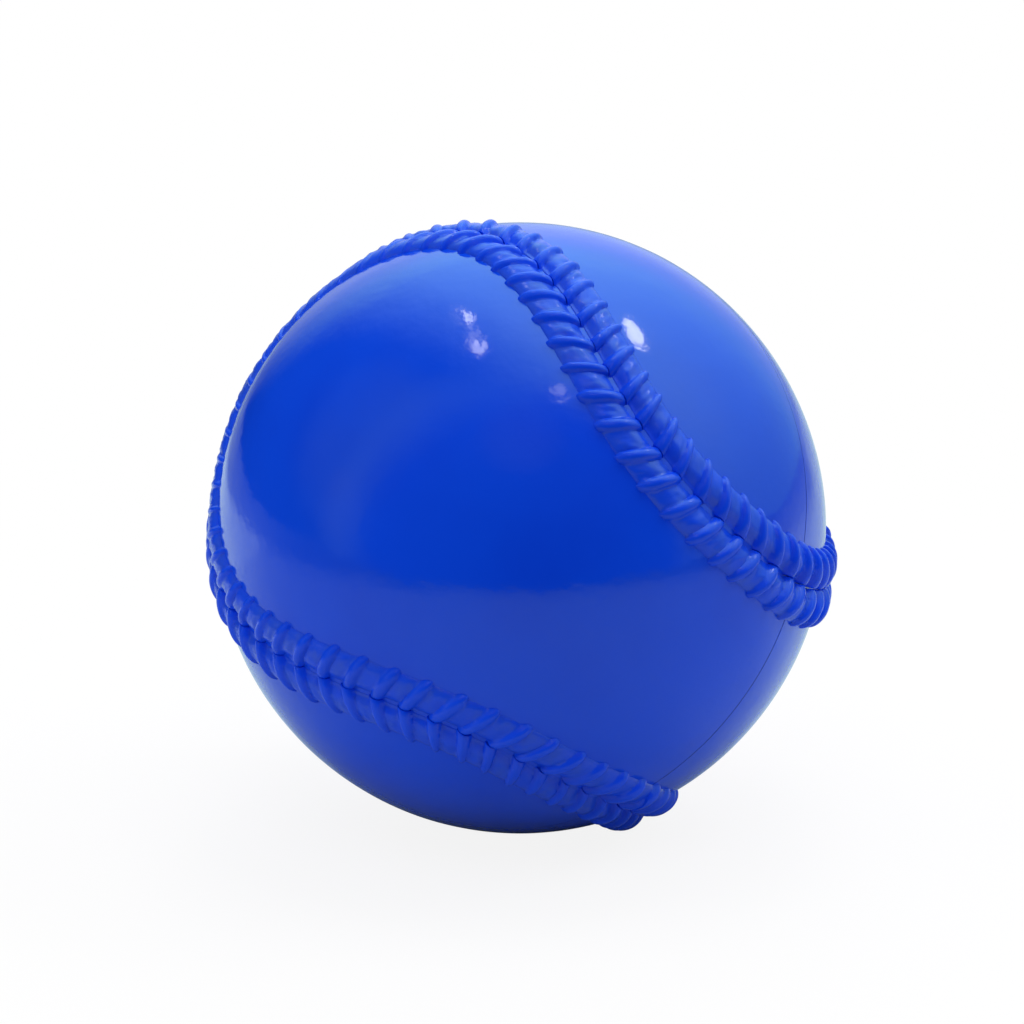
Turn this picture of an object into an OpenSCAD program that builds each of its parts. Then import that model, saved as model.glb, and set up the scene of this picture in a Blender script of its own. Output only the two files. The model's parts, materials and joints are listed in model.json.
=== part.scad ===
// Weighted training ball: a soft two-part shell with raised herringbone stitches, filled with sand.
// Origin at the centre of the ball, +Z up, with the ball lying as it is photographed.

/* [Ball] */
// Diameter of the ball without its stitches
ball_d = 73; // [60:0.5:100]
// Thickness of the soft shell
wall = 4; // [3:0.25:6]
// Depth of the fine line where the two halves meet
line_depth = 0.1; // [0.1:0.05:0.4]

/* [Seam] */
// Half of the angle across the narrow neck of a panel
neck_angle = 26.7; // [23:0.1:32]
// Sideways swing of the seam, which rounds the ends of the panels
swing_angle = 24; // [18:0.5:28]
// Width of the groove between the two rows
groove_w = 0.2; // [0.1:0.05:0.6]

/* [Stitches] */
// Stitches in each row, all the way round
stitch_count = 110; // [80:2:116]
// Width of one row, from the groove to its outer edge
row_w = 4.8; // [3.5:0.1:5.5]
// Height of the padded bead that the stitches cross
bead_h = 0.85; // [0.4:0.05:1.2]
// Height of a stitch above the bead
stitch_h = 0.4; // [0.1:0.05:0.8]
// Width of a stitch where it leaves the bead
stitch_w = 1.4; // [0.8:0.05:1.8]
// Lean of a stitch along the seam, for each millimetre across it
lean = 0.4; // [0:0.02:0.7]
// Share of a stitch that lies before the line where the halves meet
first_stitch = 0.85; // [0:0.05:0.95]

/* [Filling] */
// Diameter of the hole that the sand goes in through
hole_d = 9; // [6:0.5:12]
// Diameter of the head of the plug
plug_d = 14; // [13:0.5:18]
// Thickness of the head of the plug
plug_head = 1.5; // [1:0.25:2]
// Height of the air space above the sand
air_h = 5; // [2:0.5:10]

/* [Lie] */
// Turn about X that lays the ball down, made first
lie_x = -136.4; // [-180:0.1:180]
// Turn about Y, made second
lie_y = 51.4; // [-90:0.1:90]
// Turn about Z, made last
lie_z = -170.8; // [-180:0.1:180]

/* [Hidden] */
$fn = 96;
ball_r = ball_d / 2;
inner_r = ball_r - wall;
// Clearance of a fit, and of the flat facets under a row from the round shell
fit_gap = 0.1;
facet_gap = 0.05;
// The tongue stands on the rim of the rear half, in the middle of the wall
tongue_w = wall * 0.4;
tongue_h = wall * 0.6;
tongue_r = ball_r - wall / 2;
// The plug's head sits in the shell, and its lip holds behind the wall
plug_seat = ball_r - plug_head;
lip_r = hole_d / 2 + 0.7;
lip_top = sqrt(pow(inner_r, 2) - pow(lip_r, 2)) - fit_gap;
lip_h = 2;
lip_tip_r = hole_d / 2 - 1;
// A row is swept with eight points in a ring, and four rings to a stitch
arch_steps = 5;
arch = [for (i = [0:arch_steps]) 180 * i / arch_steps];
ring_size = len(arch) + 2;
bead_reach = 0.92 * row_w;
// Share of its height that a row still has beside the groove: the stitches of both rows
// meet there in a V, and the bead dips to a pocket between them
bead_edge = 0.1;
stitch_edge = 0.5;
// Each station of a stitch: place along the seam, height, width across, share at the groove
stations = [
    [-stitch_w / 2, bead_h, bead_reach, bead_edge],
    [-stitch_w / 5, bead_h + stitch_h, row_w, stitch_edge],
    [stitch_w / 5, bead_h + stitch_h, row_w, stitch_edge],
    [stitch_w / 2, bead_h, bead_reach, bead_edge],
];

// The seam on a sphere of radius 1: run goes from 0 to 720 degrees once round,
// and the rear half of the ball, with Y above 0, holds the runs from 0 to 360
function seam_at(run) =
    let (polar = 90 - (90 - neck_angle) * cos(run),
         azimuth = run / 2 + swing_angle * sin(2 * run))
    [sin(polar) * cos(azimuth), sin(polar) * sin(azimuth), cos(polar)];

function unit(v) = v / norm(v);
function heading_at(run) = unit(seam_at(run + 0.05) - seam_at(run - 0.05));

// Length of the seam in millimetres, paired with its run, from 0 to 360 degrees
seam_lengths = [
    for (run = 0, length = 0;
         run <= 360;
         length = length + ball_r * norm(seam_at(run + 1) - seam_at(run)), run = run + 1)
    [length, run]
];
half_length = seam_lengths[360][0];
pitch = 2 * half_length / stitch_count;

// The run at a length along the seam, which goes on alike past both ends of a half
function run_at(length) =
    length < 0 ? -run_at(-length)
    : length > half_length ? 720 - run_at(2 * half_length - length)
    : lookup(length, seam_lengths);

// A point beside the seam: out is the distance across, towards the half's own pole
function beside(length, out, height) =
    let (run = run_at(length + lean * abs(out)),
         middle = seam_at(run),
         across = cross(middle, heading_at(run)),
         angle = out / ball_r * 180 / PI)
    (middle * cos(angle) + across * sin(angle)) * (ball_r + facet_gap + height);

// One ring of a row: an arch that starts part way up beside the groove, and two points
// on the shell, under its middle and under its edge at the groove
function ring(length, side, height, reach, edge) = [
    for (a = arch)
        beside(length,
               side * (groove_w / 2 + reach * (1 - cos(a)) / 2),
               height * (a == 0 ? edge : sin(a))),
    beside(length, side * (groove_w + reach) / 2, 0),
    beside(length, side * groove_w / 2, 0),
];

// One row over the rear half, a stitch longer than the half at both ends.
// side is 1 for the row beside the pole's panel and -1 for the other
module swept_row(side) {
    places = [
        for (k = [-1:stitch_count / 2], s = stations)
            [(k + first_stitch) * pitch + s[0], s[1], s[2], s[3]]
    ];
    points = [for (p = places) each ring(p[0], side, p[1], p[2], p[3])];
    last = (len(places) - 1) * ring_size;
    walls = [
        for (i = [0:len(places) - 2], j = [0:ring_size - 1])
            let (a = i * ring_size + j,
                 b = i * ring_size + (j + 1) % ring_size)
            each [[a, b, a + ring_size], [b, b + ring_size, a + ring_size]]
    ];
    under = ring_size - 2;
    ends = [
        for (j = [0:ring_size - 1])
            if (j != under && j + 1 != under)
                each [[under, (j + 1) % ring_size, j],
                      [last + under, last + j, last + (j + 1) % ring_size]]
    ];
    faces = concat(walls, ends);
    polyhedron(points, side > 0 ? faces : [for (f = faces) [f[2], f[1], f[0]]]);
}

module lie() {
    rotate([lie_x, lie_y, lie_z]) children();
}

// Turns a piece made for the rear half, with Y above 0, over to the front half
module to_front() {
    rotate([0, 0, 180]) children();
}

// Turns a piece made round +Z to the pole of the rear half
module to_pole() {
    rotate([-90, 0, 0]) children();
}

// A row of stitches cut off where the halves meet
module half_row(side) {
    intersection() {
        swept_row(side);
        translate([-ball_d, 0, -ball_d]) cube(2 * ball_d);
    }
}

// Half of the shell round +Z, with its outer rim broken to leave the fine line
module half_wall() {
    difference() {
        sphere(ball_r);
        sphere(inner_r);
        translate([-ball_d, -ball_d, -2 * ball_d]) cube(2 * ball_d);
        rotate_extrude()
            polygon([
                [ball_r - line_depth, -1],
                [ball_r - line_depth, 0],
                [ball_r + line_depth, 2 * line_depth],
                [ball_r + line_depth, -1],
            ]);
    }
}

// A ring in the middle of the wall, below the rim and a little into it
module rim_ring(width, depth, into) {
    translate([0, 0, -depth])
        difference() {
            cylinder(h = depth + into, r = tongue_r + width / 2);
            translate([0, 0, -1])
                cylinder(h = depth + into + 2, r = tongue_r - width / 2);
        }
}

module front_half_shell() {
    color("royalblue")
        lie() to_front() to_pole()
            difference() {
                half_wall();
                mirror([0, 0, 1])
                    rim_ring(tongue_w + 2 * fit_gap, tongue_h + fit_gap, 1);
            }
}

module rear_half_shell() {
    color("mediumblue")
        lie() to_pole()
            difference() {
                union() {
                    half_wall();
                    rim_ring(tongue_w, tongue_h, wall / 4);
                }
                cylinder(h = ball_d, d = hole_d);
                translate([0, 0, plug_seat]) cylinder(h = ball_r, d = plug_d + 2 * fit_gap);
            }
}

module front_inner_stitches() {
    color("dodgerblue") lie() to_front() half_row(1);
}

module front_outer_stitches() {
    color("deepskyblue") lie() to_front() half_row(-1);
}

module rear_inner_stitches() {
    color("cornflowerblue") lie() half_row(1);
}

module rear_outer_stitches() {
    color("steelblue") lie() half_row(-1);
}

// The sand lies level, below a small air space, and round the end of the plug
module sand_fill() {
    color("burlywood")
        difference() {
            sphere(inner_r - fit_gap);
            translate([-ball_d, -ball_d, inner_r - air_h]) cube(2 * ball_d);
            lie() to_pole()
                translate([0, 0, lip_top - lip_h - fit_gap])
                    cylinder(h = ball_r, r = lip_r + fit_gap);
        }
}

// A domed head, flush with the shell, a stem through the wall and a lip behind it
module fill_plug() {
    color("navy")
        lie() to_pole()
            intersection() {
                sphere(ball_r);
                rotate_extrude()
                    polygon([
                        [0, lip_top - lip_h],
                        [lip_tip_r, lip_top - lip_h],
                        [lip_r, lip_top],
                        [hole_d / 2 - fit_gap, lip_top],
                        [hole_d / 2 - fit_gap, plug_seat],
                        [plug_d / 2, plug_seat],
                        [plug_d / 2, ball_r + 1],
                        [0, ball_r + 1],
                    ]);
            }
}

front_half_shell();
rear_half_shell();
front_inner_stitches();
front_outer_stitches();
rear_inner_stitches();
rear_outer_stitches();
sand_fill();
fill_plug();
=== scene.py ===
"""Dresses a weighted training ball: soft glossy half shells, raised stitches and a plug."""

import json
import logging
import math
from dataclasses import dataclass, field
from enum import Enum
from typing import Any, Iterable, Union

import bmesh
import bpy
from mathutils import Euler, Matrix, Quaternion, Vector


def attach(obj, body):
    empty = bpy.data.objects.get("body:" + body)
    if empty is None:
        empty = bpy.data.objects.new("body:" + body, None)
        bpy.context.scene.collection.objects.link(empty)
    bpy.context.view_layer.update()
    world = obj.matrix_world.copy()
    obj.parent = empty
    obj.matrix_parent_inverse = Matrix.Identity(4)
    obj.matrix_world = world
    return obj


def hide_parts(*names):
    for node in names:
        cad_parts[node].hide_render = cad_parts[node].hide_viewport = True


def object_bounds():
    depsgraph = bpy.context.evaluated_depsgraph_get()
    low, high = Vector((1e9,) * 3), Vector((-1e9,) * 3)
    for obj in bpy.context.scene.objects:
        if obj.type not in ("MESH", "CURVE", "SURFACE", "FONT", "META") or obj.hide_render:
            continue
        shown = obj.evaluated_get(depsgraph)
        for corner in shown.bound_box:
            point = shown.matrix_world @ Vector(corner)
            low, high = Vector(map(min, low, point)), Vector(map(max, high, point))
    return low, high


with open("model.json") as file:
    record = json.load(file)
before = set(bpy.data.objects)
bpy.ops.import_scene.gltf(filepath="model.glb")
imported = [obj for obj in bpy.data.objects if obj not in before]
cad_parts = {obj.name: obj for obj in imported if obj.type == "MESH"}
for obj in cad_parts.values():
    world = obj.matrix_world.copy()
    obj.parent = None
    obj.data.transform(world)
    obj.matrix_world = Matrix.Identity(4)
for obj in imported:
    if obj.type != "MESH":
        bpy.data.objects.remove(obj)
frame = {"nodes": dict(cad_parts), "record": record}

Colour = tuple[float, float, float]
Direction = tuple[float, float, float]
Point = tuple[float, float]
Span = tuple[float, float]
Operand = Union["Socket", float, int]

LOG = logging.getLogger("training_ball")
MM = 0.001
TURN = 2 * math.pi
QUARTER = math.pi / 2
WELD = 0.002 * MM
BODY = "root"
CORD_SHARE = "cord_share"
BLACK: Colour = (0.0, 0.0, 0.0)
WHITE: Colour = (1.0, 1.0, 1.0)
CAD_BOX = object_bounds()
BALL_RADIUS = frame["record"]["mounts"][0]["dims"]["r_mm"] * MM


class NodeName(Enum):
    """A choice whose name the CAD nodes spell in small letters."""

    @property
    def label(self) -> str:
        """Name of the choice as the CAD nodes spell it."""
        return self.name.lower()


class Half(NodeName):
    """The two mouldings of the shell, each with its half turn about the seam's axis in degrees."""

    FRONT = 180.0
    REAR = 0.0


class Row(NodeName):
    """The two rows of stitches on a half: towards the half's own pole, or away from it."""

    INNER = 1.0
    OUTER = -1.0


class Socket:
    """One output of a node, which takes part in Python sums and adds the Math nodes for them."""

    def __init__(self, maker: "NodeMaker", plug: bpy.types.NodeSocket) -> None:
        """Wraps a plug of a node.

        Args:
            maker: the tree that the plug's node belongs to.
            plug: the output to read.
        """
        self.maker = maker
        self.plug = plug

    def other(self, name: str) -> "Socket":
        """The output of the same node that has this name."""
        return Socket(self.maker, self.plug.node.outputs[name])

    def __add__(self, value: Operand) -> "Socket":
        """Sum with a number or a socket."""
        return self.maker.math("ADD", self, value)

    __radd__ = __add__

    def __sub__(self, value: Operand) -> "Socket":
        """This less a number or a socket."""
        return self.maker.math("SUBTRACT", self, value)

    def __rsub__(self, value: Operand) -> "Socket":
        """A number less this."""
        return self.maker.math("SUBTRACT", value, self)

    def __mul__(self, value: Operand) -> "Socket":
        """Product with a number or a socket."""
        return self.maker.math("MULTIPLY", self, value)

    __rmul__ = __mul__

    def __truediv__(self, value: Operand) -> "Socket":
        """This over a number or a socket."""
        return self.maker.math("DIVIDE", self, value)

    def __rtruediv__(self, value: Operand) -> "Socket":
        """A number over this."""
        return self.maker.math("DIVIDE", value, self)

    def __pow__(self, value: Operand) -> "Socket":
        """This to a power."""
        return self.maker.math("POWER", self, value)

    def __neg__(self) -> "Socket":
        """This with its sign turned."""
        return self.maker.math("MULTIPLY", self, -1.0)

    def __abs__(self) -> "Socket":
        """This without its sign."""
        return self.maker.math("ABSOLUTE", self)


class NodeMaker:
    """Adds nodes to one shader or geometry tree."""

    def __init__(self, tree: bpy.types.NodeTree) -> None:
        """Starts on a tree.

        Args:
            tree: the tree to add nodes to.
        """
        self.tree = tree

    def node(
        self,
        kind: str,
        settings: dict[str, Any] | None = None,
        sockets: dict[str | int, Any] | None = None,
        output: str | int = 0,
    ) -> Socket | None:
        """Adds one node.

        Args:
            kind: the node's type.
            settings: properties to set first.
            sockets: values or links of its inputs, by name or by number.
            output: the name of the output to return, or 0 for the first.

        Returns:
            The chosen output, or None for a node that has none.
        """
        made = self.tree.nodes.new(kind)
        for name, value in (settings or {}).items():
            setattr(made, name, value)
        for name, value in (sockets or {}).items():
            self._feed(self._input(made, name), value)
        live = [s for s in made.outputs if s.enabled and output in (s.name, 0)]
        return Socket(self, live[0]) if live else None

    @staticmethod
    def _input(made: bpy.types.Node, name: str | int) -> bpy.types.NodeSocket:
        """The node's live input of that name or number."""
        if isinstance(name, int):
            return made.inputs[name]
        return next(s for s in made.inputs if s.enabled and s.name == name)

    def _feed(self, plug: bpy.types.NodeSocket, value: Any) -> None:
        """Links a socket to an input, or sets the input's own value."""
        if isinstance(value, Socket):
            self.tree.links.new(value.plug, plug)
        elif plug.type == "RGBA" and len(value) == 3:
            plug.default_value = (*value, 1.0)
        else:
            plug.default_value = value

    def math(self, operation: str, *values: Operand) -> Socket:
        """A Math node on one to three numbers or sockets."""
        return self.node("ShaderNodeMath", {"operation": operation}, dict(enumerate(values)))

    def vector(self, operation: str, *values: Any, output: str | int = 0) -> Socket:
        """A Vector Math node."""
        sockets: dict[str | int, Any] = dict(enumerate(values))
        if operation == "SCALE":
            sockets = {0: values[0], "Scale": values[1]}
        return self.node("ShaderNodeVectorMath", {"operation": operation}, sockets, output)

    def dot(self, first: Any, second: Any) -> Socket:
        """The dot product of two vectors."""
        return self.vector("DOT_PRODUCT", first, second, output="Value")

    def length(self, vector: Socket) -> Socket:
        """A vector's length."""
        return self.vector("LENGTH", vector, output="Value")

    def combine(self, x: Operand, y: Operand, z: Operand) -> Socket:
        """A vector from three numbers."""
        return self.node("ShaderNodeCombineXYZ", None, {"X": x, "Y": y, "Z": z})

    def axes(self, vector: Socket) -> tuple[Socket, ...]:
        """A vector's X, Y and Z."""
        apart = self.node("ShaderNodeSeparateXYZ", None, {"Vector": vector})
        return tuple(apart.other(name) for name in "XYZ")

    def smooth_step(self, value: Operand, low: Operand, high: Operand) -> Socket:
        """Goes smoothly from 0 at low to 1 at high."""
        return self.node(
            "ShaderNodeMapRange",
            {"interpolation_type": "SMOOTHSTEP"},
            {"Value": value, "From Min": low, "From Max": high},
        )

    def mix_colour(self, factor: Operand, first: Any, second: Any) -> Socket:
        """A mix of two colours."""
        return self.node(
            "ShaderNodeMix",
            {"data_type": "RGBA", "clamp_factor": True},
            {"Factor": factor, "A": first, "B": second},
            "Result",
        )

    def mix_shader(self, factor: Operand, first: Socket, second: Socket) -> Socket:
        """A mix of two shaders."""
        return self.node("ShaderNodeMixShader", None, {0: factor, 1: first, 2: second})

    def noise(self, place: Socket, scale: float, detail: float = 2.0, rough: float = 0.5) -> Socket:
        """Smooth noise over a place, about 0.5 on average."""
        return self.node(
            "ShaderNodeTexNoise",
            {"noise_dimensions": "3D"},
            {"Vector": place, "Scale": scale, "Detail": detail, "Roughness": rough},
        )


def new_object(name: str, data: bpy.types.ID) -> bpy.types.Object:
    """Adds an object to the scene.

    Args:
        name: the object's name.
        data: its mesh, lamp or camera.

    Returns:
        The new object, at the origin.
    """
    made = bpy.data.objects.new(name, data)
    bpy.context.scene.collection.objects.link(made)
    return made


class ShapeTree(NodeMaker):
    """A Geometry Nodes tree with named inputs, which makes one plain mesh."""

    def __init__(self, name: str, inputs: dict[str, str]) -> None:
        """Makes the tree and its inputs.

        Args:
            name: the tree's name.
            inputs: each input's name and socket type.
        """
        super().__init__(bpy.data.node_groups.new(name, "GeometryNodeTree"))
        face = self.tree.interface
        self.identifiers: dict[str, str] = {}
        face.new_socket("Geometry", in_out="INPUT", socket_type="NodeSocketGeometry")
        for label, kind in inputs.items():
            made = face.new_socket(label, in_out="INPUT", socket_type=kind)
            self.identifiers[label] = made.identifier
        face.new_socket("Geometry", in_out="OUTPUT", socket_type="NodeSocketGeometry")
        self.entry = self.tree.nodes.new("NodeGroupInput")

    def given(self, name: str) -> Socket:
        """The tree's input of that name."""
        return Socket(self, self.entry.outputs[name])

    def grid(self, along: Operand, around: Operand) -> tuple[Socket, Socket, Socket]:
        """A flat grid of points.

        Args:
            along: how many points it has one way.
            around: how many it has the other way.

        Returns:
            The grid, and each point's place along it and around it, from 0 to 1.
        """
        sizes = {"Size X": 1.0, "Size Y": 1.0, "Vertices X": along, "Vertices Y": around}
        mesh = self.node("GeometryNodeMeshGrid", None, sizes)
        x, y, _ = self.axes(self.node("GeometryNodeInputPosition"))
        return mesh, x + 0.5, y + 0.5

    def weld(self, shape: Socket) -> Socket:
        """The geometry with points that meet made one."""
        sockets = {"Geometry": shape, "Distance": WELD}
        return self.node("GeometryNodeMergeByDistance", None, sockets)

    def turned(self, shape: Socket, turn: Any) -> Socket:
        """The geometry after a turn about X, Y and Z."""
        return self.node("GeometryNodeTransform", None, {"Geometry": shape, "Rotation": turn})

    def laid(self, shape: Socket) -> Socket:
        """The geometry turned to its half, and then laid down as the ball lies."""
        return self.turned(self.turned(shape, self.given("Half Turn")), self.given("Lie"))

    def finish(self, shape: Socket) -> None:
        """Ends the tree in Realize Instances and Set Material.

        Args:
            shape: the geometry to give out.
        """
        real = self.node("GeometryNodeRealizeInstances", None, {"Geometry": shape})
        sockets = {"Geometry": real, "Material": self.given("Material")}
        dressed = self.node("GeometryNodeSetMaterial", None, sockets)
        self.node("NodeGroupOutput", None, {"Geometry": dressed})

    def make(
        self, name: str, values: dict[str, Any], source: bpy.types.Mesh | None = None
    ) -> bpy.types.Object:
        """Runs the tree once and keeps its result as a plain mesh.

        Args:
            name: name of the new object.
            values: what each named input is set to.
            source: the mesh that goes into the tree, if it needs one.

        Returns:
            An object at the origin that holds the mesh, with no modifier.
        """
        base = source or bpy.data.meshes.new(name + "_base")
        maker = new_object(name + "_maker", base)
        modifier = maker.modifiers.new("shape", "NODES")
        modifier.node_group = self.tree
        for label, value in values.items():
            modifier[self.identifiers[label]] = value
        maker.update_tag()
        bpy.context.view_layer.update()
        evaluated = maker.evaluated_get(bpy.context.evaluated_depsgraph_get())
        mesh = bpy.data.meshes.new_from_object(evaluated)
        bpy.data.objects.remove(maker)
        mesh.name = name
        return new_object(name, mesh)


def face_outwards(piece: bpy.types.Object, sharp_angle: float) -> None:
    """Turns a closed mesh's faces outwards and shades it smooth up to an angle.

    Args:
        piece: the object to mend.
        sharp_angle: edges steeper than this, in degrees, stay sharp.
    """
    shape = bmesh.new()
    shape.from_mesh(piece.data)
    bmesh.ops.recalc_face_normals(shape, faces=shape.faces)
    shape.to_mesh(piece.data)
    shape.free()
    piece.data.shade_smooth()
    piece.data.set_sharp_from_angle(angle=math.radians(sharp_angle))


@dataclass(frozen=True)
class Seam:
    """The seam's curve, and how the ball lies, in degrees."""

    neck: float = 26.7
    swing: float = 24.0
    lie: tuple[float, float, float] = (-136.4, 51.4, -170.8)

    @property
    def lie_turn(self) -> tuple[float, ...]:
        """The lie in radians, about X, then Y, then Z."""
        return tuple(math.radians(a) for a in self.lie)

    @property
    def lie_matrix(self) -> Matrix:
        """The lie as a matrix."""
        return Euler(self.lie_turn, "XYZ").to_matrix()

    @property
    def parting_axis(self) -> Vector:
        """The direction square to the plane where the halves meet."""
        return self.lie_matrix @ Vector((0.0, 1.0, 0.0))


def new_material(name: str) -> tuple[bpy.types.Material, NodeMaker]:
    """Starts a material with an empty tree.

    Args:
        name: the material's name.

    Returns:
        The material, and the maker of its nodes.
    """
    made = bpy.data.materials.new(name)
    made.use_nodes = True
    made.node_tree.nodes.clear()
    return made, NodeMaker(made.node_tree)


@dataclass(frozen=True)
class Finish:
    """A finish on one Principled shader, with patterns on Object coordinates."""

    name: str

    def material(self) -> bpy.types.Material:
        """Builds the material.

        Returns:
            The new material.
        """
        made, maker = new_material(self.name)
        place = maker.node("ShaderNodeTexCoord", output="Object")
        shader = maker.node("ShaderNodeBsdfPrincipled", None, self._sockets(maker, place))
        maker.node("ShaderNodeOutputMaterial", None, {"Surface": shader})
        return made

    def _sockets(self, maker: NodeMaker, place: Socket) -> dict[str | int, Any]:
        """What the shader's sockets are set to or fed by."""
        raise NotImplementedError


@dataclass(frozen=True)
class VinylFinish(Finish):
    """Glossy soft vinyl, coloured right through."""

    colour: Colour = (0.003, 0.0635, 0.76)
    deep_colour: Colour = (0.003, 0.054, 0.70)
    cloud_scale: float = 45.0
    cloud_edge: Span = (0.35, 0.7)
    roughness: float = 0.09
    haze: float = 0.04
    haze_scale: float = 160.0
    peel_depth: float = 0.022 * MM
    peel_scale: float = 900.0
    ripple_scale: float = 220.0
    ripple_share: float = 2.0
    refraction: float = 1.5
    shine: float = 0.5

    def _sockets(self, maker: NodeMaker, place: Socket) -> dict[str | int, Any]:
        """Clouded colour, hazy gloss and a finely rippled skin."""
        peel = maker.noise(place, self.peel_scale)
        ripple = maker.noise(place, self.ripple_scale, 1.0)
        height = peel + self.ripple_share * ripple
        bump = maker.node("ShaderNodeBump", None, {"Height": height, "Distance": self.peel_depth})
        return {
            "Base Color": self._shade(maker, place),
            "Roughness": self._gloss(maker, place),
            "Normal": bump,
            "IOR": self.refraction,
            "Specular IOR Level": self.shine,
        }

    def _shade(self, maker: NodeMaker, place: Socket) -> Socket:
        """Colour with soft clouds of a deeper shade."""
        cloud = maker.smooth_step(maker.noise(place, self.cloud_scale, 3.0), *self.cloud_edge)
        return maker.mix_colour(cloud, self.colour, self.deep_colour)

    def _gloss(self, maker: NodeMaker, place: Socket) -> Socket:
        """Roughness with a little haze."""
        return self.roughness + self.haze * (maker.noise(place, self.haze_scale, 4.0, 0.6) - 0.5)


@dataclass(frozen=True)
class ShellFinish(VinylFinish):
    """The same vinyl on the shell, with painted shade in the fine line where the halves meet."""

    parting_axis: Vector = Vector((0.0, 1.0, 0.0))
    line_width: float = 0.14 * MM
    line_core: float = 0.3
    # Painted shade: the darker colour of the fine line, standing in for the groove's shadow
    line_shade_colour: Colour = (0.001, 0.02, 0.30)

    def _shade(self, maker: NodeMaker, place: Socket) -> Socket:
        """Colour with soft clouds, and painted shade along the fine line."""
        # Painted shade along the fine line where the halves meet
        height = abs(maker.dot(place, tuple(self.parting_axis)))
        line = 1 - maker.smooth_step(height, self.line_core * self.line_width, self.line_width)
        return maker.mix_colour(line, super()._shade(maker, place), self.line_shade_colour)


@dataclass(frozen=True)
class StitchFinish(VinylFinish):
    """The same vinyl on the rows: clean on the stitches, mottled on the bead between them."""

    colour: Colour = (0.003, 0.066, 0.82)
    deep_colour: Colour = (0.003, 0.056, 0.74)
    roughness: float = 0.20
    peel_depth: float = 0.03 * MM
    shine: float = 0.33
    bead_colour: Colour = (0.005, 0.064, 0.78)
    bead_deep_colour: Colour = (0.016, 0.074, 0.66)
    mottle_scale: float = 380.0
    bead_haze: float = 0.16
    bead_haze_scale: float = 420.0

    def _shade(self, maker: NodeMaker, place: Socket) -> Socket:
        """Colour of the stitches, and of the bead where it shows."""
        mottle = maker.smooth_step(maker.noise(place, self.mottle_scale, 3.0), *self.cloud_edge)
        bead = maker.mix_colour(mottle, self.bead_colour, self.bead_deep_colour)
        return maker.mix_colour(self._stitch_share(maker), bead, super()._shade(maker, place))

    def _gloss(self, maker: NodeMaker, place: Socket) -> Socket:
        """Roughness, hazier on the bead."""
        bare = 1 - self._stitch_share(maker)
        haze = bare * self.bead_haze * (maker.noise(place, self.bead_haze_scale) - 0.5)
        return super()._gloss(maker, place) + haze

    @staticmethod
    def _stitch_share(maker: NodeMaker) -> Socket:
        """Share of the surface that is stitch, kept on the mesh."""
        settings = {"attribute_type": "GEOMETRY", "attribute_name": CORD_SHARE}
        return maker.node("ShaderNodeAttribute", settings, output="Fac")


@dataclass(frozen=True)
class SandFinish(Finish):
    """Loose dry sand, which fills the closed ball."""

    name: str = "dry_sand"
    pale: Colour = (0.62, 0.48, 0.30)
    dark: Colour = (0.33, 0.22, 0.12)
    shade_scale: float = 2500.0
    grain_scale: float = 1800.0
    grain_depth: float = 0.2 * MM
    roughness: float = 0.95

    def _sockets(self, maker: NodeMaker, place: Socket) -> dict[str | int, Any]:
        """Mixed colours and a bump of small grains."""
        cells = {"Vector": place, "Scale": self.grain_scale}
        grain = maker.node("ShaderNodeTexVoronoi", None, cells, "Distance")
        colour = maker.mix_colour(maker.noise(place, self.shade_scale), self.dark, self.pale)
        bump = maker.node("ShaderNodeBump", None, {"Height": grain, "Distance": self.grain_depth})
        return {"Base Color": colour, "Roughness": self.roughness, "Normal": bump}


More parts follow.
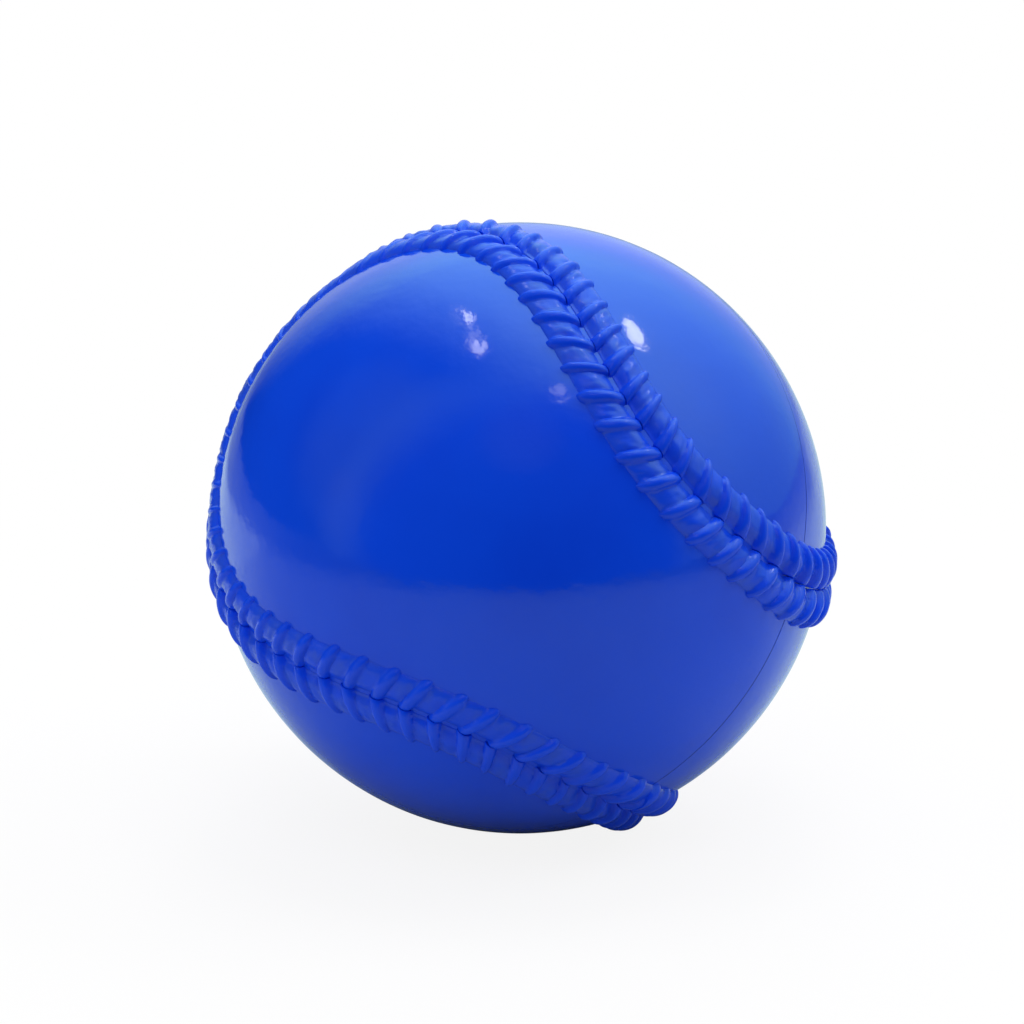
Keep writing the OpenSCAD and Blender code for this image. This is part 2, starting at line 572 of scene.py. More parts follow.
@dataclass
class StitchRows:
    """The raised stitches: a padded bead on each side of the seam, crossed by leaning cords."""

    seam: Seam
    finish: bpy.types.Material
    stitches_per_half: int = 55
    row_width: float = 4.8 * MM
    bead_width: float = 4.42 * MM
    groove_width: float = 0.14 * MM
    bead_height: float = 0.80 * MM
    stitch_height: float = 0.50 * MM
    stitch_width: float = 1.38 * MM
    bead_rise: float = 0.02
    stitch_rise: float = 0.1
    lean: float = 0.4
    first_stitch: float = 0.85
    rooted: float = 0.3 * MM
    end_height: float = 0.2
    edge_power: float = 1.7
    outer_edge_power: float = 1.3
    edge_span: Span = (0.15, 0.6)
    ledge: float = 0.08 * MM
    ledge_rise: Span = (0.0, 0.06)
    ledge_fall: Span = (0.35, 0.6)
    dimple: float = 0.12
    tip_loss: float = 0.3
    tip_span: Span = (0.72, 1.0)
    outer_root_gain: float = 0.15
    outer_taper: float = 0.4
    fillet: float = 0.1 * MM
    seam_points: int = 1441
    rings_per_stitch: int = 22
    points_across: int = 33
    top_share: float = 0.875
    bunching: float = 0.55
    end_stitches: float = 2.0
    wobble: float = 0.60 * MM
    wrinkle_scale: float = 820.0
    wrinkle_stretch: float = 0.4
    crest_wobble: float = 0.25
    height_spread: float = 0.26
    place_spread: float = 0.09
    width_spread: float = 0.30
    worn_side: Direction = (-0.848, 0.137, 0.512)
    worn_range: Span = (0.81, 0.95)
    worn_loss: float = 0.3
    smoothed_range: Span = (0.62, 0.90)
    smoothed_gain: float = 0.25
    smoothed_loss: float = 0.9
    full_side: Direction = (0.819, -0.149, -0.554)
    full_range: Span = (0.6, 0.82)
    full_gain: float = 0.3
    sharp_angle: float = 50.0
    seed: float = 7.0
    tree: ShapeTree = field(init=False)

    SIZES = (
        "Row Width", "Bead Width", "Groove Width", "Bead Height", "Stitch Height", "Stitch Width",
        "Bead Rise", "Stitch Rise", "Lean", "First Stitch", "Rooted", "Wobble",
    )
    INPUTS = {
        **dict.fromkeys(SIZES, "NodeSocketFloat"),
        **dict.fromkeys(("Ball Radius", "Neck", "Swing", "Side", "Seed"), "NodeSocketFloat"),
        **dict.fromkeys(("Stitches", "Rings", "Across"), "NodeSocketInt"),
        **dict.fromkeys(("Worn Side", "Full Side", "Half Turn", "Lie"), "NodeSocketVector"),
        "Material": "NodeSocketMaterial",
    }

    def __post_init__(self) -> None:
        """Builds the tree that all four rows share."""
        self.tree = ShapeTree("stitch_row", self.INPUTS)
        self._fill_tree()

    def _seam_curve(self) -> Socket:
        """The seam over the rear half, as a curve on the ball.

        Returns:
            The curve.
        """
        tree = self.tree
        line = tree.node("GeometryNodeCurvePrimitiveLine")
        points = {"Curve": line, "Count": self.seam_points}
        even = tree.node("GeometryNodeResampleCurve", {"mode": "COUNT"}, points)
        run = tree.node("GeometryNodeSplineParameter", output="Factor") * TURN
        polar = QUARTER - (QUARTER - tree.given("Neck")) * tree.math("COSINE", run)
        azimuth = run / 2 + tree.given("Swing") * tree.math("SINE", 2 * run)
        ring = tree.math("SINE", polar)
        place = tree.combine(
            ring * tree.math("COSINE", azimuth),
            ring * tree.math("SINE", azimuth),
            tree.math("COSINE", polar),
        )
        on_ball = tree.vector("SCALE", place, tree.given("Ball Radius"))
        return tree.node("GeometryNodeSetPosition", None, {"Geometry": even, "Position": on_ball})

    def _fill_tree(self) -> None:
        """Sweeps a grid along the seam over one half, and lifts it into bead and stitches."""
        tree, given = self.tree, self.tree.given
        curve = self._seam_curve()
        count = given("Stitches")
        pitch = tree.node("GeometryNodeCurveLength", None, {"Curve": curve}) / count

        # Along the row: the first and last rings close its ends, the rest gather at the stitches
        rings = count * given("Rings")
        grid, start, around = tree.grid(rings + 3.0, given("Across"))
        station = tree.math("ROUND", start * (rings + 2.0))
        cap = tree.math("LESS_THAN", station, 0.5) + tree.math("GREATER_THAN", station, rings + 1.5)
        inside = tree.math("MINIMUM", tree.math("MAXIMUM", station - 1.0, 0.0), rings)
        stitch = inside / given("Rings")
        from_start = tree.smooth_step(stitch, 0.0, self.end_stitches)
        clear = from_start * tree.smooth_step(count - stitch, 0.0, self.end_stitches)
        swirl = tree.math("SINE", (stitch - given("First Stitch")) * TURN)
        along = (stitch - self.bunching / TURN * swirl * clear) * pitch

        # Across the row: over the arch from the groove to the outer edge, then back under it
        arch = tree.math("MINIMUM", around / self.top_share, 1.0)
        under = tree.math("MAXIMUM", (around - self.top_share) / (1 - self.top_share), 0.0)
        on_top = tree.math("GREATER_THAN", abs(under - 0.5), 0.499)
        inward = tree.math("MINIMUM", under / 0.75, 1.0)
        across = (0.5 - 0.5 * tree.math("COSINE", arch * math.pi)) * (1 - inward)
        out = given("Groove Width") * 0.5 + given("Row Width") * (across * (1 - cap) + 0.5 * cap)

        slid = along + given("Lean") * out * clear
        direction = self._direction(curve, slid, out)
        phase = (slid - given("Lean") * out) / pitch - given("First Stitch")
        number = tree.math("ROUND", phase)
        beside = phase - number
        bead, cord = self._heights(beside, number, pitch, across, direction, clear)
        height = tree.math("SMOOTH_MAX", bead, cord, self.fillet)
        share = tree.smooth_step(cord - bead, -0.3 * self.fillet, self.fillet) * on_top
        marked = tree.node(
            "GeometryNodeStoreNamedAttribute",
            {"data_type": "FLOAT", "domain": "POINT"},
            {"Geometry": grid, "Name": CORD_SHARE, "Value": share},
        )
        height = height * on_top - given("Rooted") * (1 - on_top)
        height = height * (1 - cap) + given("Bead Height") * self.end_height * cap
        place = tree.vector("SCALE", direction, given("Ball Radius") + height)
        shaped = tree.node("GeometryNodeSetPosition", None, {"Geometry": marked, "Position": place})
        tree.finish(tree.laid(tree.weld(shaped)))

    def _direction(self, curve: Socket, slid: Socket, out: Socket) -> Socket:
        """Direction from the ball's centre to a place beside the seam.

        Args:
            curve: the seam.
            slid: the place's length along the seam.
            out: its distance across the seam.

        Returns:
            The direction.
        """
        tree = self.tree
        places = {"Curves": curve, "Length": slid}
        sample = tree.node("GeometryNodeSampleCurve", {"mode": "LENGTH"}, places, "Position")
        centre = tree.vector("NORMALIZE", sample)
        sideways = tree.vector("CROSS_PRODUCT", centre, sample.other("Tangent"))
        angle = tree.given("Side") * out / tree.given("Ball Radius")
        return tree.vector(
            "ADD",
            tree.vector("SCALE", centre, tree.math("COSINE", angle)),
            tree.vector("SCALE", tree.vector("NORMALIZE", sideways), tree.math("SINE", angle)),
        )

    def _heights(
        self,
        beside: Socket,
        number: Socket,
        pitch: Socket,
        across: Socket,
        direction: Socket,
        clear: Socket,
    ) -> tuple[Socket, Socket]:
        """Heights of the bead and of the stitches over the shell.

        Args:
            beside: distance along the seam from the nearest stitch, as a share of the pitch.
            number: that stitch's number.
            pitch: the stitches' pitch.
            across: place across the row, from 0 at the groove to 1 at the outer edge.
            direction: direction of the place from the ball's centre.
            clear: 0 at the row's ends, 1 away from them.

        Returns:
            The two heights in metres; the row's surface is the higher one.
        """
        tree = self.tree
        given, step = tree.given, tree.smooth_step
        rooted = given("Rooted")
        outer = 0.5 - 0.5 * given("Side")

        # Each stitch's own height, place and width
        chance = tree.node(
            "ShaderNodeTexWhiteNoise",
            {"noise_dimensions": "2D"},
            {"Vector": tree.combine(number, given("Seed"), 0.0)},
            "Color",
        )
        height_draw, place_draw, width_draw = (draw - 0.5 for draw in tree.axes(chance))
        taller = 1 + self.height_spread * height_draw
        shift = self.place_spread * place_draw
        wider = 1 + self.width_spread * width_draw

        # Worn and smoothed on one side of the ball, fuller on the other
        towards_worn = tree.dot(direction, given("Worn Side"))
        worn = step(towards_worn, *self.worn_range)
        smoothed = step(towards_worn, *self.smoothed_range)
        full = step(tree.dot(direction, given("Full Side")), *self.full_range)
        rounded = self.smoothed_gain * smoothed * (1 - worn)
        fullness = 1 - self.worn_loss * worn + rounded + self.full_gain * full
        relief = 1 - self.smoothed_loss * smoothed + self.full_gain * full
        reach_across = self.wrinkle_stretch * given("Row Width") * across
        grain = tree.combine((beside + number) * pitch, reach_across, given("Seed"))
        wobble = (tree.noise(grain, self.wrinkle_scale, 2.0, 0.6) - 0.5) * given("Wobble") * clear

        # The bead: steeper towards the groove, with a low ledge beside it
        risen = self._risen(across, given("Bead Rise"))
        half_round = self._half_round(risen * given("Row Width") / given("Bead Width"))
        steep = self.edge_power + self.outer_edge_power * outer
        slope = steep - (steep - 1) * step(across, *self.edge_span)
        swell = 1 - self.dimple * (0.5 + 0.5 * tree.math("COSINE", beside * TURN))
        full_height = given("Bead Height") * swell * fullness + wobble + rooted
        beside_groove = step(across, *self.ledge_rise) * (1 - step(across, *self.ledge_fall))
        ledge = (rooted + self.ledge) * beside_groove
        bead = tree.math("MAXIMUM", full_height * half_round**slope, ledge) - rooted

        # The stitches: round cords that narrow at their tips, more so on the outer row
        upright = (1 + given("Lean") ** 2.0) ** -0.5
        reach = abs(beside - shift) * pitch * upright
        tip = 1 - self.tip_loss * step(across, *self.tip_span)
        taper = 1 + outer * (self.outer_root_gain - self.outer_taper * across)
        radius = given("Stitch Width") * 0.5 * wider
        off = reach / (radius * (tip * taper))
        dome = tree.math("SQRT", tree.math("MAXIMUM", 1 - off**2.0, 0.0))
        cord_round = self._half_round(self._risen(across, given("Stitch Rise")))
        stood = given("Bead Height") * fullness + given("Stitch Height") * taller * relief
        crest = (stood + self.crest_wobble * wobble + rooted) * cord_round
        beyond = tree.math("MAXIMUM", off - 1, 0.0)
        cord = crest - rooted - radius * (1 - dome) - 2 * radius * beyond
        return bead, cord

    @staticmethod
    def _risen(across: Socket, rise: Socket) -> Socket:
        """Place across the row that starts a little way up the round at the groove."""
        return rise + (1 - rise) * across

    def _half_round(self, share: Socket) -> Socket:
        """A half circle over 0 to 1, and 0 beyond."""
        square = self.tree.math("MAXIMUM", share * (1 - share), 0.0)
        return 2 * self.tree.math("SQRT", square)

    def build(self, half: Half, row: Row) -> bpy.types.Object:
        """Makes one row over one half and puts it on the ball.

        Args:
            half: which half it lies on.
            row: which side of the seam it lies on.

        Returns:
            The finished piece.
        """
        half_turn = (0.0, 0.0, math.radians(half.value))
        to_seam = (self.seam.lie_matrix @ Euler(half_turn, "XYZ").to_matrix()).transposed()
        piece = self.tree.make(
            f"{half.label}_{row.label}_stitch_row",
            {
                **{label: getattr(self, label.lower().replace(" ", "_")) for label in self.SIZES},
                "Ball Radius": BALL_RADIUS,
                "Neck": math.radians(self.seam.neck),
                "Swing": math.radians(self.seam.swing),
                "Stitches": self.stitches_per_half,
                "Rings": self.rings_per_stitch,
                "Across": self.points_across,
                "Side": row.value,
                "Worn Side": tuple(to_seam @ Vector(self.worn_side)),
                "Full Side": tuple(to_seam @ Vector(self.full_side)),
                "Half Turn": half_turn,
                "Lie": self.seam.lie_turn,
                "Seed": self.seed + half.value + row.value,
                "Material": self.finish,
            },
        )
        face_outwards(piece, self.sharp_angle)
        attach(piece, BODY)
        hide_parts(f"{half.label}_{row.label}_stitches")
        return piece


@dataclass
class Plug:
    """The plug that closes the filling hole: a flush head, a stem and a lip behind the wall."""

    hole_radius: float = 4.5 * MM
    head_radius: float = 7.0 * MM
    head_depth: float = 1.5 * MM
    lip_height: float = 2.0 * MM
    lip_overhang: float = 0.7 * MM
    tip_inset: float = 1.0 * MM
    gap: float = 0.1 * MM
    edge_round: float = 0.35 * MM
    ring_radius: float = 4.6 * MM
    ring_width: float = 0.35 * MM
    ring_depth: float = 0.18 * MM
    pip_width: float = 0.9 * MM
    dome_steps: int = 48
    rim_steps: int = 6

    @property
    def seat(self) -> float:
        """Distance of the head's seat from the ball's centre."""
        return BALL_RADIUS - self.head_depth

    def profile(self, inner_radius: float) -> list[Point]:
        """The plug's outline, from the middle of its head to the middle of its tip.

        Args:
            inner_radius: radius of the shell's inside.

        Returns:
            Points as distance from the axis and height along it.
        """
        dome = []
        flat_reach = self.head_radius - self.edge_round
        for i in range(self.dome_steps + 1):
            reach = flat_reach * i / self.dome_steps
            dip = math.exp(-(((reach - self.ring_radius) / self.ring_width) ** 2))
            pip = math.exp(-((reach / self.pip_width) ** 2))
            sphere = math.sqrt(BALL_RADIUS**2 - reach**2)
            dome.append((reach, sphere - self.ring_depth * (dip + pip)))
        rim_height = dome[-1][1]
        rim = []
        for i in range(1, self.rim_steps + 1):
            angle = QUARTER * i / self.rim_steps
            out = self.edge_round * math.sin(angle)
            down = self.edge_round * (1 - math.cos(angle))
            rim.append((flat_reach + out, rim_height - down))
        stem = self.hole_radius - self.gap
        lip = self.hole_radius + self.lip_overhang
        lip_top = math.sqrt(inner_radius**2 - lip**2) - self.gap
        return [
            *dome,
            *rim,
            (self.head_radius, self.seat),
            (stem, self.seat),
            (stem, lip_top),
            (lip, lip_top),
            (self.hole_radius - self.tip_inset, lip_top - self.lip_height),
            (0.0, lip_top - self.lip_height),
        ]


@dataclass
class HalfShells:
    """The two mouldings of the shell and the plug, as turned profiles round each half's pole."""

    seam: Seam
    finish: bpy.types.Material
    plug_finish: bpy.types.Material
    plug: Plug = field(default_factory=Plug)
    wall: float = 4.0 * MM
    line_depth: float = 0.09 * MM
    tongue_share: float = 0.4
    tongue_height: float = 0.6
    fit_gap: float = 0.1 * MM
    arc_steps: int = 120
    inner_steps: int = 40
    turn_steps: int = 288
    sway: float = 0.16 * MM
    slow_scale: float = 38.0
    quick_scale: float = 115.0
    quick_share: float = 0.4
    skin: Span = (0.5 * MM, 0.25 * MM)
    sharp_angle: float = 35.0
    tree: ShapeTree = field(init=False)

    INPUTS = {
        "Turns": "NodeSocketInt",
        "Points": "NodeSocketInt",
        "Ball Radius": "NodeSocketFloat",
        "Sway": "NodeSocketFloat",
        "Half Turn": "NodeSocketVector",
        "Lie": "NodeSocketVector",
        "Material": "NodeSocketMaterial",
    }

    def __post_init__(self) -> None:
        """Builds the tree that turns a profile, for both halves and the plug."""
        self.tree = ShapeTree("turned_piece", self.INPUTS)
        self._fill_tree()

    @property
    def inner_radius(self) -> float:
        """Radius of the shell's inside."""
        return BALL_RADIUS - self.wall

    def _fill_tree(self) -> None:
        """Turns a profile round +Z, lays it down and sways its outside."""
        tree, given = self.tree, self.tree.given
        points = given("Points")
        grid, start, around = tree.grid(points, given("Turns") + 1.0)
        number = tree.math("ROUND", start * (points - 1.0))
        angle = around * TURN
        where = tree.node("GeometryNodeInputPosition")
        spot = tree.node(
            "GeometryNodeSampleIndex",
            {"data_type": "FLOAT_VECTOR", "domain": "POINT"},
            {"Geometry": given("Geometry"), "Value": where, "Index": number},
        )
        reach, _, height = tree.axes(spot)
        ring_x, ring_y = (reach * tree.math(name, angle) for name in ("COSINE", "SINE"))
        place = tree.combine(ring_x, ring_y, height)
        turned = tree.node("GeometryNodeSetPosition", None, {"Geometry": grid, "Position": place})
        laid = tree.laid(tree.turned(tree.weld(turned), (-QUARTER, 0.0, 0.0)))

        low, high = (given("Ball Radius") - depth for depth in self.skin)
        outside = tree.smooth_step(tree.length(where), low, high)
        slow = tree.noise(where, self.slow_scale, 1.0) - 0.5
        quick = tree.noise(where, self.quick_scale, 1.0) - 0.5
        sway = (slow + self.quick_share * quick) * given("Sway") * outside
        push = tree.vector("SCALE", tree.vector("NORMALIZE", where), sway)
        swayed = tree.node("GeometryNodeSetPosition", None, {"Geometry": laid, "Offset": push})
        tree.finish(swayed)

    def _arc(self, radius: float, start: float, end: float, steps: int) -> list[Point]:
        """Points of an arc about the centre, by their angle from the pole in radians."""
        angles = [start + (end - start) * i / steps for i in range(steps + 1)]
        return [(radius * math.sin(a), radius * math.cos(a)) for a in angles]

    def _rim(self, half: Half) -> list[Point]:
        """The rim, from the fine line outside to the inner edge: a tongue or the groove for it.

        Args:
            half: which half it is for.

        Returns:
            Points as distance from the axis and height along it.
        """
        middle = BALL_RADIUS - self.wall / 2
        reach, depth = self.wall * self.tongue_share / 2, self.wall * self.tongue_height
        if half is Half.REAR:
            depth = -depth
        else:
            reach, depth = reach + self.fit_gap, depth + self.fit_gap
        return [
            (BALL_RADIUS - self.line_depth, 0.0),
            (middle + reach, 0.0),
            (middle + reach, depth),
            (middle - reach, depth),
            (middle - reach, 0.0),
        ]

    def profile(self, half: Half) -> list[Point]:
        """The outline of one half's wall, from its outside at the pole to its inside there.

        Args:
            half: which half it is for.

        Returns:
            Points as distance from the axis and height along it.
        """
        last = QUARTER - self.line_depth / BALL_RADIUS
        if half is Half.FRONT:
            outer = self._arc(BALL_RADIUS, 0.0, last, self.arc_steps)
            inner = self._arc(self.inner_radius, QUARTER, 0.0, self.inner_steps)
            return [*outer, *self._rim(half), *inner]
        hole, head = self.plug.hole_radius, self.plug.head_radius + self.fit_gap
        outer = self._arc(BALL_RADIUS, math.asin(head / BALL_RADIUS), last, self.arc_steps)
        hole_edge = math.asin(hole / self.inner_radius)
        inner = self._arc(self.inner_radius, QUARTER, hole_edge, self.inner_steps)
        seat = [(hole, self.plug.seat), (head, self.plug.seat)]
        return [*outer, *self._rim(half), *inner, *seat, outer[0]]

    def _turn(
        self,
        name: str,
        outline: Iterable[Point],
        half: Half,
        finish: bpy.types.Material,
        sway: float,
    ) -> bpy.types.Object:
        """Turns an outline round the pole of a half.

        Args:
            name: name of the new piece.
            outline: points as distance from the axis and height along it.
            half: the half whose pole it goes round.
            finish: its material.
            sway: how far its outside leaves a true sphere.

        Returns:
            The turned piece.
        """
        points = [(r, 0.0, z) for r, z in outline]
        edges = [(i, i + 1) for i in range(len(points) - 1)]
        source = bpy.data.meshes.new(name + "_profile")
        source.from_pydata(points, edges, [])
        piece = self.tree.make(
            name,
            {
                "Turns": self.turn_steps,
                "Points": len(points),
                "Ball Radius": BALL_RADIUS,
                "Sway": sway,
                "Half Turn": (0.0, 0.0, math.radians(half.value)),
                "Lie": self.seam.lie_turn,
                "Material": finish,
            },
            source,
        )
        face_outwards(piece, self.sharp_angle)
        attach(piece, BODY)
        return piece

    def build_half(self, half: Half) -> bpy.types.Object:
        """Makes one half of the shell.

        Args:
            half: which half to make.

        Returns:
            The finished piece.
        """
        name, outline = f"{half.label}_shell_moulding", self.profile(half)
        piece = self._turn(name, outline, half, self.finish, self.sway)
        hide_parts(f"{half.label}_half_shell")
        return piece

    def build_plug(self) -> bpy.types.Object:
        """Makes the plug in the rear half.

        Returns:
            The finished piece.
        """
        outline = self.plug.profile(self.inner_radius)
        piece = self._turn("filling_plug", outline, Half.REAR, self.plug_finish, 0.0)
        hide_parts("fill_plug")
        return piece


@dataclass(frozen=True)
class Lamp:
    """One soft lamp, placed by the direction that it stands in from the ball."""

    name: str
    towards: Direction
    distance: float
    width: float
    depth: float
    power: float
    spin: float = 0.0
    mirrored: bool = True

    def place(self) -> None:
        """Adds the lamp, turned to the ball."""
        data = bpy.data.lights.new(self.name, "AREA")
        data.shape = "ELLIPSE"
        data.size = self.width
        data.size_y = self.depth
        data.energy = self.power
        lamp = new_object(self.name, data)
        direction = Vector(self.towards).normalized()
        lamp.location = direction * self.distance
        lamp.rotation_mode = "QUATERNION"
        spin = Quaternion((0.0, 0.0, 1.0), math.radians(self.spin))
        lamp.rotation_quaternion = direction.to_track_quat("Z", "Y") @ spin
        lamp.visible_glossy = self.mirrored


@dataclass(frozen=True)
class Glow:
    """A soft bright spot in the surroundings, which only the ball's gloss shows."""

    side: Direction
    start: float
    level: float

    def brightness(self, maker: NodeMaker, way: Socket) -> Socket:
        """How bright the spot is in a direction."""
        return self.level * maker.smooth_step(maker.dot(way, self.side), self.start, 1.0)


@dataclass
class Studio:
    """The floor, the surroundings, the lamps and the camera."""

    camera_height_angle: float = 15.0
    camera_distance: float = 13.0 * BALL_RADIUS
    camera_clip: Span = (0.01, 20.0)
    image_size: float = 1024.0
    ball_pixel_radius: float = 305.8
    ball_pixel_centre: Point = (519.95, 527.88)
    sensor: float = 36.0
    floor_size: float = 3.0
    floor_front: float = 0.31
    floor_colour: Colour = (0.85, 0.85, 0.85)
    floor_shade: Colour = (0.13, 0.13, 0.13)
    floor_shade_edge: Span = (-0.12, 0.0)
    floor_contact: Span = (0.03, 0.06)
    floor_glow: float = 0.55
    floor_glow_rise: Span = (0.055, 0.08)
    floor_glow_fall: Span = (0.11, 0.17)
    floor_shown: float = 0.88
    floor_shown_fade: Span = (0.05, 0.2)
    mirrored_floor: Colour = (0.70, 0.90, 0.83)
    mirrored_level: float = 0.48
    mirrored_behind: float = 0.3
    mirrored_left: float = 0.42
    mirrored_far: float = 0.4
    mirrored_far_back: float = 0.1
    mirror_tint: Colour = (0.52, 1.0, 0.63)
    edge_tint: Colour = (0.52, 0.65, 0.78)
    front_tint: Colour = (0.0, 0.03, 1.0)
    front_glow: float = 1.2
    light_above: float = 0.64
    light_left: float = 0.27
    light_right: float = 0.14
    light_behind: float = 0.46
    window_side: Direction = (0.76, 0.64, 0.63)
    window_edge: Span = (0.155, 1.155)
    window_level: float = 3.4
    window_change: Direction = (-2.38, -1.65, 0.49)
    back_glow: Glow = Glow((0.0, 1.0, 0.0), 0.86, 0.3)
    wall_glow: Glow = Glow((-0.82, -0.23, 0.52), 0.82, 0.25)
    far_glow: Glow = Glow((-0.30, 0.88, 0.37), 0.91, 0.25)
    patch_scale: float = 3.0
    patch_level: float = 0.4
    patch_spread: float = 1.2
    lamps: tuple[Lamp, ...] = (
        Lamp("softbox_above", (0.1, 0.1, 1.0), 0.80, 0.40, 0.36, 1.50, mirrored=False),
        Lamp("softbox_behind", (0.1, 0.8, 0.7), 0.80, 0.40, 0.36, 0.98, mirrored=False),
        Lamp("softbox_right", (0.8, 0.1, 0.6), 0.80, 0.40, 0.36, 1.18, mirrored=False),
        Lamp("softbox_left", (-0.93, -0.31, 0.2), 0.80, 0.30, 0.30, 0.75, mirrored=False),
        Lamp("softbox_near", (0.0, -0.7, 0.8), 0.80, 0.40, 0.36, 0.88, mirrored=False),
        Lamp("ceiling_lamp_left", (-0.251, 0.188, 0.95), 0.70, 0.100, 0.028, 0.068, 50.0),
        Lamp("ceiling_lamp_near", (-0.222, -0.076, 0.972), 0.70, 0.085, 0.036, 0.062, -5.0),
        Lamp("ceiling_strip", (-0.237, 0.056, 0.970), 0.70, 0.200, 0.014, 0.020, 20.0),
        Lamp("ceiling_lamp_right", (0.505, 0.222, 0.834), 0.70, 0.150, 0.062, 0.26, 8.0),
        Lamp("ceiling_lamp_low", (0.222, -0.393, 0.893), 0.70, 0.07, 0.08, 0.035),
    )

    def build_floor(self) -> None:
        """Lays a plain pale floor under the ball."""
        half, front, height = self.floor_size / 2, -self.floor_front, CAD_BOX[0].z
        ground = ((-half, front), (half, front), (half, half), (-half, half))
        mesh = bpy.data.meshes.new("floor")
        mesh.from_pydata([(x, y, height) for x, y in ground], [], [(0, 1, 2, 3)])
        mesh.materials.append(self._floor_material())
        floor = new_object("floor", mesh)

    def _floor_material(self) -> bpy.types.Material:
        """A matt pale floor that the camera sees as nearly white, with the ball's shadow on it.

        Returns:
            The new material.
        """
        made, maker = new_material("pale_floor")
        step, mix = maker.smooth_step, maker.mix_shader
        path = maker.node("ShaderNodeLightPath", output="Is Camera Ray")
        place = maker.node("ShaderNodeTexCoord", output="Object")
        x, y, _ = maker.axes(place)
        reach = maker.length(place)
        colours = (self.floor_colour, self.floor_shade, self.mirrored_floor, BLACK)
        pale, shaded, cool, dark = (
            maker.node("ShaderNodeBsdfDiffuse", None, {"Color": colour}) for colour in colours
        )
        white = maker.node("ShaderNodeEmission", None, {"Color": WHITE, "Strength": 1.0})

        # What lights the ball from below: a painted shadow at the contact, a ring round it that
        # glows as painted bounce light, painted shade in front
        glow = step(reach, *self.floor_glow_rise) - step(reach, *self.floor_glow_fall)
        plain = mix(step(y + 0.8 * abs(x), *self.floor_shade_edge), shaded, pale)
        lit = mix(self.floor_glow * glow, plain, white)
        matt = mix(step(reach, *self.floor_contact), dark, lit)

        # What the ball mirrors: brighter behind it and on the left, darker far away
        behind = step(y / reach, -0.2, 0.5)
        left = step(-x, 0.08, 0.15) * step(y, 0.05, 0.09) * (1 - step(reach, 0.28, 0.42))
        straight_back = step((y + 0.15 * x) / reach, 0.83, 0.95)
        loss = self.mirrored_far + (self.mirrored_far_back - self.mirrored_far) * straight_back
        sides = self.mirrored_behind * behind + self.mirrored_left * left
        bright = self.mirrored_level + sides - loss * step(reach, 0.18, 0.4)
        unseen = mix(path.other("Is Glossy Ray"), matt, mix(bright, dark, cool))

        # What the camera sees
        shown = self.floor_shown + (1 - self.floor_shown) * step(reach, *self.floor_shown_fade)
        surface = mix(shown * path, mix(path, unseen, pale), white)
        maker.node("ShaderNodeOutputMaterial", None, {"Surface": surface})
        return made

    def build_surroundings(self) -> None:
        """Sets the world: white behind the ball, bright behind and to the right in reflections."""
        world = bpy.data.worlds.new("studio")
        bpy.context.scene.world = world
        world.use_nodes = True
        world.node_tree.nodes.clear()
        maker = NodeMaker(world.node_tree)
        step = maker.smooth_step
        way = maker.node("ShaderNodeTexCoord", output="Generated")
        across, away, height = maker.axes(way)
        path = maker.node("ShaderNodeLightPath", output="Is Camera Ray")
        glossy = path.other("Is Glossy Ray")

        lighting = (
            self.light_above * step(height, 0.0, 1.0)
            + self.light_left * step(-across, 0.0, 1.0)
            + self.light_right * step(across, 0.0, 1.0)
            + self.light_behind * step(away, 0.0, 1.0)
        )
        window = step(maker.dot(way, self.window_side), *self.window_edge)
        brightness = self.window_level + maker.dot(way, self.window_change)
        patches = self.patch_level + self.patch_spread * maker.noise(way, self.patch_scale, 1.0)
        back, wall, far = (
            glow.brightness(maker, way) for glow in (self.back_glow, self.wall_glow, self.far_glow)
        )
        front = step(-away, 0.1, 0.6)
        bright_window = window * maker.math("MAXIMUM", brightness, 0.0)
        mirrored = bright_window + back + wall * patches + far + self.front_glow * front
        level = path + (1 - path) * (glossy * mirrored + (1 - glossy) * lighting)

        sides = maker.mix_colour(step(away, 0.75, 0.97), self.mirror_tint, self.edge_tint)
        seen = maker.mix_colour(front, sides, self.front_tint)
        tint = maker.mix_colour(glossy, WHITE, seen)
        sky = maker.node("ShaderNodeBackground", None, {"Color": tint, "Strength": level})
        maker.node("ShaderNodeOutputWorld", None, {"Surface": sky})

    def build_camera(self) -> None:
        """Sets the camera where the photograph was taken from."""
        data = bpy.data.cameras.new("camera")
        span = self.camera_distance / BALL_RADIUS
        focal_pixels = self.ball_pixel_radius * math.sqrt(span**2 - 1)
        data.sensor_width = self.sensor
        data.lens = self.sensor * focal_pixels / self.image_size
        centre_x, centre_y = self.ball_pixel_centre
        data.shift_x = (self.image_size / 2 - centre_x) / self.image_size
        data.shift_y = (centre_y - self.image_size / 2) / self.image_size
        data.clip_start, data.clip_end = self.camera_clip
        camera = new_object("camera", data)
        angle = math.radians(self.camera_height_angle)
        back = Vector((0.0, -math.cos(angle), math.sin(angle)))
        camera.location = back * self.camera_distance
        camera.rotation_mode = "QUATERNION"
        camera.rotation_quaternion = (-back).to_track_quat("-Z", "Y")
        bpy.context.scene.camera = camera

    def build(self) -> None:
        """Builds the whole studio."""
        bpy.context.scene.view_settings.view_transform = "Standard"
        self.build_camera()
        self.build_floor()
        self.build_surroundings()
        for lamp in self.lamps:
            lamp.place()


def report(piece: bpy.types.Object) -> None:
    """Logs a piece's name and size."""
    size = [round(d / MM, 1) for d in piece.dimensions]
    LOG.info("%s: %d faces, %s mm", piece.name, len(piece.data.polygons), size)


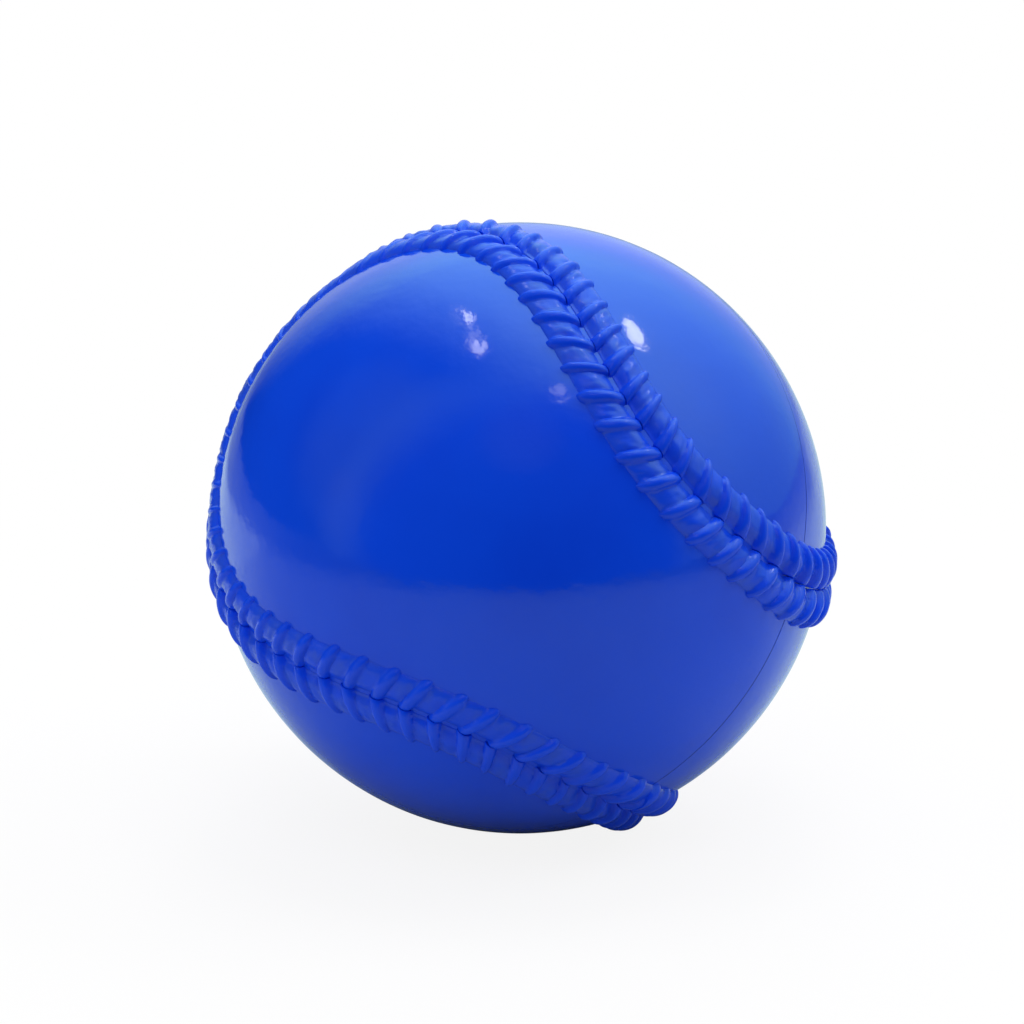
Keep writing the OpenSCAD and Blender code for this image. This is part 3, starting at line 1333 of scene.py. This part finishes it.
def main() -> None:
    """Builds the ball and its studio, piece by piece."""
    logging.basicConfig(level=logging.INFO, format="%(name)s: %(message)s")
    seam = Seam()
    shell_finish = ShellFinish("shell_vinyl", parting_axis=seam.parting_axis).material()
    stitch_finish = StitchFinish("stitch_vinyl").material()
    plug_finish = VinylFinish("plug_vinyl", colour=(0.004, 0.04, 0.62), roughness=0.32).material()

    shells = HalfShells(seam, shell_finish, plug_finish)
    for half in Half:
        report(shells.build_half(half))
    report(shells.build_plug())
    rows = StitchRows(seam, stitch_finish)
    for half in Half:
        for row in Row:
            report(rows.build(half, row))
    sand = frame["nodes"]["sand_fill"]
    sand.data.materials.clear()
    sand.data.materials.append(SandFinish().material())
    report(sand)
    Studio().build()


if __name__ == "__main__":
    main()
